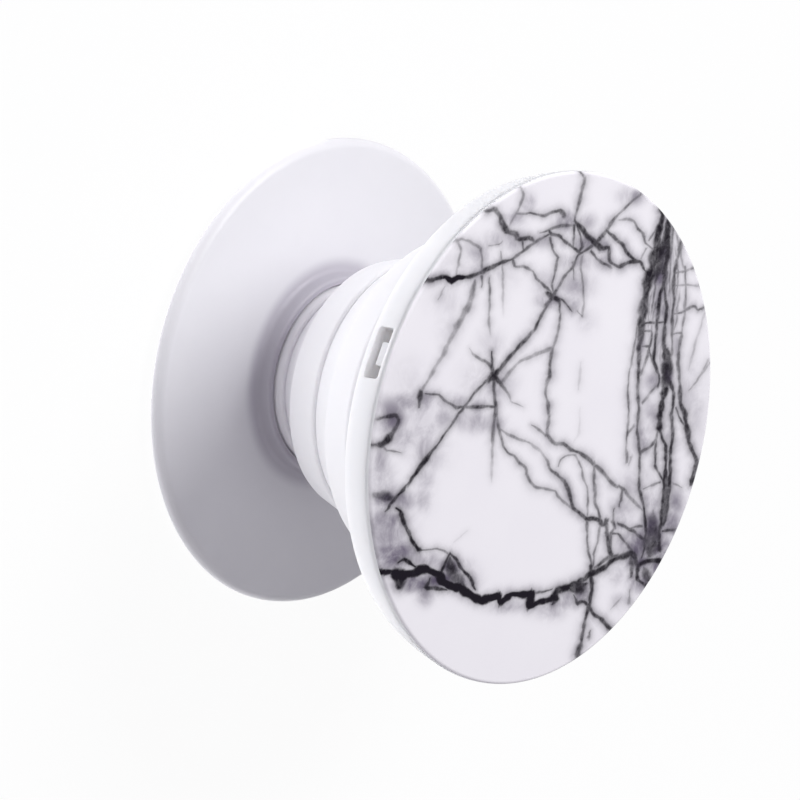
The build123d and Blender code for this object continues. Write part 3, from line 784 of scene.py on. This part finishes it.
# soft smoky fields of the marble: middle and half sizes in pixels, strength
smoke = [
    (514, 218, 10, 8, 0.28), (528, 203, 6, 9, 0.3), (566, 222, 12, 10, 0.42), (586, 222, 10, 8, 0.24),
    (632, 196, 12, 8, 0.3), (480, 255, 16, 14, 0.2), (480, 270, 30, 16, 0.18), (496, 240, 10, 8, 0.26),
    (515, 240, 14, 10, 0.28), (540, 240, 16, 8, 0.2), (550, 285, 14, 12, 0.22), (568, 262, 10, 8, 0.26),
    (575, 285, 16, 14, 0.22), (580, 262, 14, 10, 0.2), (586, 243, 14, 10, 0.34), (604, 245, 10, 10, 0.28),
    (604, 262, 12, 8, 0.24), (660, 278, 10, 10, 0.55), (664, 258, 7, 16, 0.7), (446, 300, 14, 14, 0.12),
    (450, 330, 10, 14, 0.14), (490, 345, 14, 14, 0.12), (551, 300, 12, 8, 0.4), (570, 305, 12, 10, 0.22),
    (586, 320, 10, 10, 0.12), (640, 345, 6, 14, 0.36), (658, 340, 12, 30, 0.2), (662, 300, 12, 34, 0.3),
    (676, 345, 6, 14, 0.22), (392, 410, 14, 12, 0.3), (406, 402, 14, 8, 0.3), (410, 380, 18, 18, 0.08),
    (424, 402, 14, 12, 0.3), (440, 418, 16, 12, 0.2), (455, 402, 30, 8, 0.22), (478, 385, 16, 20, 0.14),
    (478, 405, 10, 8, 0.3), (496, 380, 14, 14, 0.36), (655, 415, 10, 14, 0.24), (656, 382, 10, 10, 0.3),
    (667, 374, 5, 14, 0.6), (690, 400, 14, 40, 0.16), (380, 462, 9, 16, 0.25), (392, 420, 14, 12, 0.4),
    (406, 440, 12, 14, 0.26), (424, 478, 10, 12, 0.22), (424, 420, 16, 26, 0.22), (428, 450, 16, 18, 0.26),
    (462, 420, 12, 10, 0.2), (478, 422, 12, 10, 0.26), (496, 425, 10, 10, 0.24), (643, 438, 10, 16, 0.3),
    (668, 442, 12, 12, 0.25), (384, 490, 12, 24, 0.25), (386, 500, 11, 8, 0.6), (388, 530, 20, 24, 0.35),
    (388, 520, 14, 14, 0.48), (402, 500, 12, 10, 0.34), (424, 500, 8, 12, 0.2), (622, 510, 14, 12, 0.2),
    (622, 522, 12, 10, 0.24), (640, 485, 20, 14, 0.18), (650, 502, 14, 12, 0.28), (652, 530, 10, 20, 0.55),
    (668, 525, 12, 16, 0.4), (676, 502, 8, 12, 0.3), (392, 556, 18, 14, 0.5), (404, 552, 14, 12, 0.42),
    (410, 586, 16, 6, 0.4), (412, 580, 12, 8, 0.5), (420, 584, 14, 8, 0.45), (425, 560, 16, 8, 0.3),
    (440, 580, 18, 8, 0.55), (452, 566, 16, 8, 0.42), (466, 580, 12, 10, 0.4), (568, 596, 8, 8, 0.35),
    (583, 592, 10, 12, 0.55), (615, 575, 12, 10, 0.2), (640, 562, 14, 10, 0.55), (640, 545, 18, 16, 0.55),
    (640, 580, 12, 10, 0.55), (655, 566, 8, 8, 0.45), (660, 545, 12, 16, 0.62), (425, 595, 8, 9, 0.34),
    (505, 606, 18, 6, 0.3), (550, 610, 14, 8, 0.24), (558, 604, 14, 6, 0.32), (622, 602, 10, 8, 0.2),
]
# the pen that draws the veins: lengths in pixels
printPen = {
    "seed": 7, "step": 2.4, "wander": 0.5, "widthWander": 0.4,
    "lightest": 0.66, "blackest": 0.64, "press": 12,   # little ink until it is pressed hard
    "darkWander": 0.42, "darkSteady": 1.1,             # the blackest ink wavers least
    "tip": 9.0, "tipShare": 0.3, "joinReach": 4.0, "rimReach": 18.8,  # rimReach is a radius in mm
    "edgeSoft": 2.0, "edgeHard": 3.0, "halfFall": 0.693,  # half the ink is left at the vein's edge
    "coreLine": 0.6, "outerFall": 5.0,
    "skirt": 2.8, "skirtShare": 0.33, "crispDark": 0.9, "crispShare": 0.5,
    "halo": 8.0, "haloShare": 0.13, "haloReach": 3.0, "haloDark": 0.7, "haloWidth": 1.8, "smokeFall": 0.9,
}
# fine fibres laid between the two sides of the upright bundle: lengths and side lines in pixels
fibres = {
    "count": 18, "dark": (0.3, 0.55), "width": (1.2, 2.2), "length": (50, 120), "highest": 214, "lowest": 400,
    "place": (0.1, 0.9), "step": 9.0, "sway": 0.05,
    "leftSide": [
        (661, 212), (656, 248), (648, 282), (643, 310), (639, 350), (638, 400), (639, 450), (640, 492),
        (646, 530), (642, 558)],
    "rightSide": [
        (676, 230), (684, 262), (686, 290), (684, 320), (679, 362), (680, 400), (676, 440), (672, 490),
        (666, 530), (662, 560)],
}
printLook = {
    "light": (0.96, 0.945, 0.975), "shade": (0.85, 0.825, 0.885), "mottleScale": 170.0, "mottleShare": 0.5,
    "smokeTone": (0.10, 0.078, 0.135), "billowScale": 420.0, "billow": (0.4, 1.6),
    "inkTone": (0.005, 0.003, 0.008), "beadScale": 1500.0, "bead": (0.72, 1.28), "eyeCurve": 2.2,
    "grainScale": 7000.0, "roughness": (0.42, 0.52), "bump": 0.02, "bumpDepth": 0.00002, "ior": 1.15,
}
pictureHalf = photoView["framePixels"] / 2
focal = photoView["focalPixels"]


def onFace(pixel):
    # the place on the printed face, in mm, that a picture point shows
    spots = np.atleast_2d(np.asarray(pixel, float))
    rays = (np.outer((spots[:, 0] - pictureHalf) / focal, pictureRight)
            + np.outer((spots[:, 1] - pictureHalf) / focal, pictureDown) - toEye)
    reach = (faceHeight - eye[2]) / rays[:, 2]
    return eye[:2] + rays[:, :2] * reach[:, None]


def inPicture(place):
    # where a point of the printed face, in mm, is seen in the picture
    spots = np.atleast_2d(np.asarray(place, float))
    away = np.column_stack((spots, np.full(len(spots), faceHeight))) - eye
    depth = -(away @ toEye)
    return np.column_stack((pictureHalf + focal * (away @ pictureRight) / depth,
                            pictureHalf + focal * (away @ pictureDown) / depth))


def slowNoise(count, stretch):
    # seeded wandering between -1 and 1 that changes over a few points
    knots = dice.uniform(-1, 1, max(2, count // stretch + 2))
    return np.interp(np.linspace(0, len(knots) - 1, count), np.arange(len(knots)), knots)


def alongRun(values, share):
    # values given at even steps along a run, read at shares of its length
    return np.interp(share, np.linspace(0, 1, len(values)), values)


def walkVein(run, widths, darks):
    # evenly spaced points along a vein, with its half width and darkness at each
    corners = np.array(run, float)
    lengths = np.hypot(*np.diff(corners, axis=0).T)
    along = np.concatenate(([0], np.cumsum(lengths)))
    count = max(3, int(round(along[-1] / printPen["step"])) + 1)
    where = np.linspace(0, along[-1], count)
    path = np.column_stack((np.interp(where, along, corners[:, 0]), np.interp(where, along, corners[:, 1])))
    path += np.column_stack((slowNoise(count, 2), slowNoise(count, 2))) * printPen["wander"]
    share = where / along[-1]
    width = alongRun(widths, share) * (1 + slowNoise(count, 2) * printPen["widthWander"])
    dark = alongRun(darks, share)
    dark = dark * (printPen["lightest"] + printPen["blackest"] * dark ** printPen["press"])
    unsteady = printPen["darkWander"] * np.maximum(0, printPen["darkSteady"] - dark)
    return path, width / 2, dark * (1 + slowNoise(count, 3) * unsteady)


def layFibres():
    # strands that keep their place across the bundle and fade out at both ends
    left = np.array(fibres["leftSide"], float)
    right = np.array(fibres["rightSide"], float)
    strands = []
    for number in range(fibres["count"]):
        across = (number + dice.uniform(*fibres["place"])) / fibres["count"]
        length = dice.uniform(*fibres["length"])
        top = dice.uniform(fibres["highest"], fibres["lowest"] - length)
        y = np.arange(top, top + length, fibres["step"])
        lx = np.interp(y, left[:, 1], left[:, 0])
        rx = np.interp(y, right[:, 1], right[:, 0])
        x = lx + (rx - lx) * (across + fibres["sway"] * slowNoise(len(y), 3))
        dark = dice.uniform(*fibres["dark"])
        strands.append(((dice.uniform(*fibres["width"]),), (0, dark, dark, 0), list(zip(x, y))))
    return strands


dice = np.random.RandomState(printPen["seed"])
walked = [walkVein(run, widths, darks) for widths, darks, run in list(veins.values()) + layFibres()]
for number, (path, half, _) in enumerate(walked):  # free ends run out to a fine tip
    others = np.concatenate([vein[0] for index, vein in enumerate(walked) if index != number])
    gone = np.concatenate(([0], np.cumsum(np.hypot(*np.diff(path, axis=0).T))))
    for end, left in ((0, gone), (-1, gone[-1] - gone)):
        onVein = np.hypot(*(others - path[end]).T).min() < printPen["joinReach"]
        atRim = np.hypot(*onFace(path[end])[0]) > printPen["rimReach"]
        if not onVein and not atRim:
            half *= printPen["tipShare"] + (1 - printPen["tipShare"]) * np.clip(left / printPen["tip"], 0, 1)
print("veins walked", len(walked))


def inkShape(half):
    # how sharply a vein's ink falls off at its edge: thick veins have a flat black core
    return printPen["edgeSoft"] + np.minimum(half, printPen["edgeHard"])


def veinLines():
    # the core and the feathered edge of every vein, as chains of picture points
    chains = []
    for path, half, _ in walked:
        heading = np.gradient(path, axis=0)
        heading /= np.hypot(*heading.T)[:, None]
        across = np.column_stack((-heading[:, 1], heading[:, 0]))
        outer = half * printPen["outerFall"] ** (1 / inkShape(half))
        for offset in (printPen["coreLine"] * half, half, outer, half + printPen["skirt"]):
            chains.append(path + across * offset[:, None])
            chains.append(path - across * offset[:, None])
        for end, way in ((0, -1), (-1, 1)):  # a blunt tip past each end
            tip = path[end] + way * heading[end] * outer[end]
            chains.append(tip[None, :])
    return chains


def printInk(spots):
    # ink and smoke at picture points
    ink = np.zeros(len(spots))
    haze = np.zeros(len(spots))
    margin = printPen["haloReach"] * printPen["halo"]
    for path, half, dark in walked:
        near = np.where(((spots > path.min(0) - margin) & (spots < path.max(0) + margin)).all(1))[0]
        if not len(near):
            continue
        step = np.diff(path, axis=0)
        reach = spots[near][:, None, :] - path[:-1][None]
        share = np.clip((reach * step).sum(2) / (step ** 2).sum(1), 0, 1)
        gap = np.hypot(reach[..., 0] - share * step[:, 0], reach[..., 1] - share * step[:, 1])
        halfHere = half[:-1] + share * np.diff(half)
        darkHere = dark[:-1] + share * np.diff(dark)
        core = np.exp(-printPen["halfFall"] * (gap / halfHere) ** inkShape(halfHere))
        skirt = np.exp(-(gap / (halfHere + printPen["skirt"])) ** 2)
        crisp = np.where(darkHere > printPen["crispDark"], printPen["crispShare"], 1)  # for black ink's edge
        laid = (core + (skirt - core) * (printPen["skirtShare"] * crisp)) * darkHere
        ink[near] = np.maximum(ink[near], laid.max(1))
        cloud = (np.minimum(darkHere, printPen["haloDark"]) * np.minimum(halfHere, printPen["haloWidth"])
                 * np.exp(-(gap / printPen["halo"]) ** 2))
        haze[near] = np.maximum(haze[near], printPen["haloShare"] * cloud.max(1))
    for x, y, rx, ry, strength in smoke:
        fall = ((spots[:, 0] - x) / rx) ** 2 + ((spots[:, 1] - y) / ry) ** 2
        haze = np.maximum(haze, strength * np.exp(-printPen["smokeFall"] * fall))
    return ink, haze


def buildPrintedFront(finish):
    # flat front of the plate, its points laid along the veins so that the ink has clean edges
    edge = plate["printEdge"]
    count = plate["steps"]
    around = np.linspace(0, 2 * math.pi, count, endpoint=False)
    spots = [edge * np.column_stack((np.cos(around), np.sin(around)))]
    edges = [(i, (i + 1) % count) for i in range(count)]
    for chain in veinLines():
        places = onFace(chain)
        onPrint = np.hypot(*places.T) < edge - plate["veinGap"]
        for i, place in enumerate(places):
            if not onPrint[i]:
                continue
            spots.append(place[None, :])
            if i and onPrint[i - 1]:
                edges.append((count - 1, count))
            count += 1
    step = plate["groundStep"]
    rows = np.arange(-edge, edge, step * math.sqrt(3) / 2)
    for number, y in enumerate(rows):
        x = np.arange(-edge, edge, step) + (number % 2) * step / 2
        row = np.column_stack((x, np.full(len(x), y)))
        spots.append(row[np.hypot(*row.T) < edge - plate["groundGap"]])
    cloud = [Vector(p) for p in np.concatenate(spots)]
    points, _, triangles, *_ = geometry.delaunay_2d_cdt(cloud, edges, [], 0, plate["nearest"])
    flat = np.array([(p.x, p.y) for p in points])
    keep = [t for t in triangles if np.hypot(*flat[list(t)].mean(0)) < edge]
    mesh = bpy.data.meshes.new("printedFront")
    mesh.from_pydata([(x * mm, y * mm, faceHeight * mm) for x, y in flat], [], keep)
    mesh.materials.append(finish)
    return mesh


def layInk(mesh):
    # ink and smoke on the front and over its rounded edge
    count = len(mesh.vertices)
    places = np.zeros(count * 3)
    mesh.vertices.foreach_get("co", places)
    places = places.reshape(-1, 3) / mm
    printed = np.where(places[:, 2] > faceHeight - plate["edgeRound"] - plate["printReach"])[0]
    found = printInk(inPicture(places[printed, :2]))
    for name, values in zip(("veinInk", "veinSmoke"), found):
        whole = np.zeros(count, np.float32)
        whole[printed] = values
        mesh.attributes.new(name, "FLOAT", "POINT").data.foreach_set("value", whole)


def buildEyeDarkness():
    # darkness as judged by eye, broken up by noise and turned into a share of light
    group, given, made = newGroup(
        "eyeDarkness", "ShaderNodeTree",
        ("INPUT", "Float", ("Darkness",)),
        ("INPUT", "Vector", ("Position",)),
        ("INPUT", "Float", ("Noise Scale", "Noise Low", "Noise High", "Eye Curve")),
        ("OUTPUT", "Float", ("Share",)))
    noise = setInputs(addNode(group, "ShaderNodeTexNoise"), Detail=5.0, Roughness=0.62, Distortion=0.4)
    spread = setInputs(addNode(group, "ShaderNodeMapRange"), From_Min=0.34, From_Max=0.66)
    broken = addNode(group, "ShaderNodeMath", operation="MULTIPLY")
    left = addNode(group, "ShaderNodeMath", operation="SUBTRACT", use_clamp=True)
    curved = addNode(group, "ShaderNodeMath", operation="POWER")
    taken = addNode(group, "ShaderNodeMath", operation="SUBTRACT", use_clamp=True)
    for rest in (left, taken):  # what remains of one
        rest.inputs[0].default_value = 1.0
    wireUp(group,
           (given, "Position", noise, "Vector"), (given, "Noise Scale", noise, "Scale"),
           (noise, "Fac", spread, "Value"), (given, "Noise Low", spread, "To Min"),
           (given, "Noise High", spread, "To Max"), (given, "Darkness", broken, 0),
           (spread, "Result", broken, 1), (broken, 0, left, 1), (left, 0, curved, 0),
           (given, "Eye Curve", curved, 1), (curved, 0, taken, 1), (taken, 0, made, "Share"))
    return group


eyeDarkness = buildEyeDarkness()


def printedFinish(name, look):
    finish, shader, where, grain = startFinish(name, look)
    tree = finish.node_tree
    under, output = grain, "Tone"
    layers = (("veinSmoke", "billowScale", "billow", "smokeTone"),
              ("veinInk", "beadScale", "bead", "inkTone"))
    for attribute, scale, breakUp, tone in layers:  # the smoke, then the ink over it
        drawn = addNode(tree, "ShaderNodeAttribute", attribute_name=attribute)
        share = addNode(tree, "ShaderNodeGroup", node_tree=eyeDarkness)
        low, high = look[breakUp]
        setInputs(share, Noise_Scale=look[scale], Noise_Low=low, Noise_High=high, Eye_Curve=look["eyeCurve"])
        tinted = setInputs(addNode(tree, "ShaderNodeMix", data_type="RGBA"), B=(*look[tone], 1))
        wireUp(tree, (where, "Object", share, "Position"), (drawn, "Fac", share, "Darkness"),
               (under, output, tinted, "A"), (share, "Share", tinted, "Factor"))
        under, output = tinted, "Result"
    wireUp(tree, (under, output, shader, "Base Color"))
    return finish


printedFace = printedFinish("printedFace", printLook)
lipFinish = mouldedFinish("lipPlastic", cupLook)
lipUnder = faceHeight - plate["lip"]
plateRear = faceHeight - plate["thickness"]
clampEnd = plate["clampEnd"]
eased = plate["backRound"]
backSection = [
    (plate["printEdge"], faceHeight), (discRadius, faceHeight, plate["edgeRound"]),
    (discRadius, lipUnder, plate["lipRound"]), (plate["spigot"], lipUnder),
    (plate["spigot"], plateRear, eased), (plate["clampOuter"], plateRear),
    (plate["clampOuter"], clampEnd, eased), (plate["clampInner"], clampEnd, eased),
    (plate["clampInner"], plateRear), (0, plateRear)]
backMesh = turn("facePlate", backSection, lipFinish, closed=False, steps=plate["steps"],
                roundSteps=plate["roundSteps"])
hookInner = plate["hookInner"]
hookOuter = plate["hookOuter"]
hookRoot = lipUnder - plate["hookRoot"]
hookSection = [
    (hookInner, hookRoot), (hookInner, plate["hookEnd"]), (hookOuter, plate["hookEnd"]),
    (plate["barbTip"], plate["barbLow"]), (plate["barbTip"], plate["barbHigh"]),
    (hookOuter, plate["barbHigh"]), (hookOuter, hookRoot)]
hookMesh = prism("snapHook", hookSection, plate["hookWidth"], plate["hookEase"], lipFinish)
hooksMesh = runTree("snapHooks", hookMesh, buildRingOfHooks(), {
    "Count": cup["windowCount"], "Start Angle": math.radians(cup["windowAngle"]), "Full Sweep": 2 * math.pi,
    "Finish": lipFinish})
frontMesh = buildPrintedFront(printedFace)
print("printed front", len(frontMesh.polygons))

work = bmesh.new()
for mesh in (backMesh, hooksMesh, frontMesh):
    work.from_mesh(mesh)
bmesh.ops.remove_doubles(work, verts=work.verts, dist=plate["weld"] * mm)
for face in work.faces:
    onPrint = face.calc_center_median().z > (faceHeight - plate["printDrop"]) * mm
    face.material_index = 0 if onPrint else 1
plateMesh = bpy.data.meshes.new("facePlate")
work.to_mesh(plateMesh)
work.free()
plateMesh.materials.append(printedFace)
plateMesh.materials.append(lipFinish)
layInk(plateMesh)
facePlate = newPiece("facePlate", plateMesh)
settle(facePlate, "disc", "face_plate")
print("face plate", len(plateMesh.polygons))


def whiteToEye(tree):
    # 1 for rays from the camera and through gloss or glass, which see a plain white surround
    rays = addNode(tree, "ShaderNodeLightPath")
    seen = addNode(tree, "ShaderNodeMath", operation="MAXIMUM")
    seenToo = addNode(tree, "ShaderNodeMath", operation="MAXIMUM")
    wireUp(tree, (rays, "Is Camera Ray", seen, 0), (rays, "Is Glossy Ray", seen, 1),
           (seen, 0, seenToo, 0), (rays, "Is Transmission Ray", seenToo, 1))
    return seenToo


# plain pale floor; the camera sees it nearly white, with a faint shadow
stageFloor = {
    "reach": 3.0, "colour": (0.9, 0.9, 0.92), "whiteShare": 0.95,
    "drop": 0.00002,  # a hair below the pad, so that the two faces share no plane
}
reach = stageFloor["reach"]
floorMesh = bpy.data.meshes.new("floor")
floorMesh.from_pydata([(x, y, -stageFloor["drop"]) for x, y in (
    (-reach, -reach), (reach, -reach), (reach, reach), (-reach, reach))], [], [(0, 1, 2, 3)])
floor = newPiece("floor", floorMesh)
floorPaint = bpy.data.materials.new("floorPaint")
floorPaint.use_nodes = True
floorTree = floorPaint.node_tree
floorTree.nodes.clear()
floorDiffuse = setInputs(addNode(floorTree, "ShaderNodeBsdfDiffuse"), Color=(*stageFloor["colour"], 1))
floorGlow = setInputs(addNode(floorTree, "ShaderNodeEmission"), Color=(1, 1, 1, 1), Strength=1.0)
floorShare = addNode(floorTree, "ShaderNodeMath", operation="MULTIPLY")
floorShare.inputs[1].default_value = stageFloor["whiteShare"]
floorMix = addNode(floorTree, "ShaderNodeMixShader")
floorOut = addNode(floorTree, "ShaderNodeOutputMaterial")
wireUp(floorTree, (whiteToEye(floorTree), 0, floorShare, 0), (floorShare, 0, floorMix, 0),
       (floorDiffuse, 0, floorMix, 1), (floorGlow, 0, floorMix, 2), (floorMix, 0, floorOut, "Surface"))
floorMesh.materials.append(floorPaint)

# light: a soft key from the side, a glow up from the table in front, an even surround
lights = {
    "key": {"place": (-0.32, 0.0, 0.40), "aim": (0, 0, 0.013), "size": 0.26, "watts": 2.0},
    "tableGlow": {"place": (0.08, -0.225, 0.0004), "aim": (0.08, -0.225, 1), "size": 0.48, "watts": 0.42},
}
surround = {"tint": (0.95, 0.92, 1.0), "strength": 0.33}
for name, lamp in lights.items():
    data = bpy.data.lights.new(name, "AREA")
    data.shape = "DISK"
    data.size = lamp["size"]
    data.energy = lamp["watts"]
    lampObject = bpy.data.objects.new(name, data)
    way = Vector(lamp["place"]) - Vector(lamp["aim"])
    lampObject.location = lamp["place"]
    lampObject.rotation_euler = way.to_track_quat("Z", "Y").to_euler()
    lampObject.visible_camera = False
    bpy.context.scene.collection.objects.link(lampObject)

world = bpy.data.worlds.new("surround")
world.use_nodes = True
bpy.context.scene.world = world
sky = world.node_tree
skyLight = setInputs(sky.nodes["Background"], Color=(*surround["tint"], 1), Strength=surround["strength"])
skySeen = setInputs(addNode(sky, "ShaderNodeBackground"), Color=(1, 1, 1, 1), Strength=1.0)
skyMix = addNode(sky, "ShaderNodeMixShader")
wireUp(sky, (whiteToEye(sky), 0, skyMix, 0), (skyLight, 0, skyMix, 1), (skySeen, 0, skyMix, 2),
       (skyMix, 0, sky.nodes["World Output"], "Surface"))
bpy.context.scene.view_settings.view_transform = "Standard"
print("stage and light")

lens = bpy.data.cameras.new("photoCamera")
lens.sensor_width = photoView["sensor"]
lens.lens = photoView["focalPixels"] / photoView["framePixels"] * photoView["sensor"]
lens.clip_start, lens.clip_end = photoView["clip"]
camera = bpy.data.objects.new("photoCamera", lens)
bpy.context.scene.collection.objects.link(camera)
placeEye = Matrix.Identity(4)
for row in range(3):
    for column, axis in enumerate((pictureRight, -pictureDown, toEye)):
        placeEye[row][column] = axis[row]
    placeEye[row][3] = eye[row] * mm
camera.matrix_world = placeEye
bpy.context.scene.camera = camera
